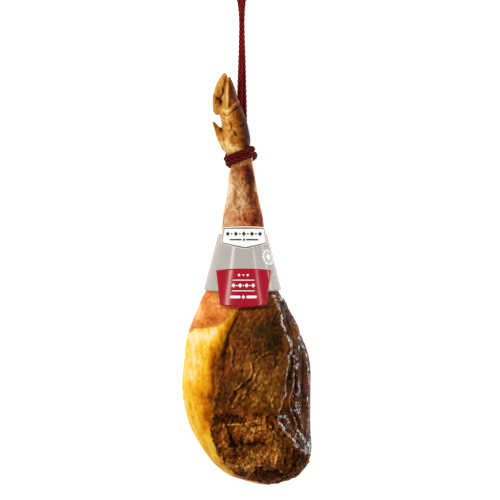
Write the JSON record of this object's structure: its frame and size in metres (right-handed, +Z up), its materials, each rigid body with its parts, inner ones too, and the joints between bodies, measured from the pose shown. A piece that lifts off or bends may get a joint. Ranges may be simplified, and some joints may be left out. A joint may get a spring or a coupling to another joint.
{
  "type": "cured ham",
  "caption": "Whole bone-in cured ham with trotter, lying cut side up, with a card sleeve round the shank and a doubled hanging rope hitched to the ankle.",
  "frame": {"origin": "on the surface that the ham lies on, under the middle of the leg's plan", "axes": "+Z up out of the cut face, +Y along the leg towards the trotter, +X towards the narrow dark edge"},
  "size_m": [0.2465, 1.03, 0.1292],
  "materials": {
    "meat": "dry-cured meat: dark brown glossy lean, golden fat and orange-brown rind",
    "silver_card": "silver-grey laminated card, satin",
    "red_card": "crimson laminated card, satin",
    "pale_card": "white card with a thin gold line, satin",
    "rope": "dark red braided cord, matte"
  },
  "bodies": {
    "root": {"ham": "meat", "sleeve": "silver_card", "red_plate": "red_card", "pale_plate": "pale_card", "rope_hitch": "rope", "rope_loop": "rope"}
  },
  "joints": []
}
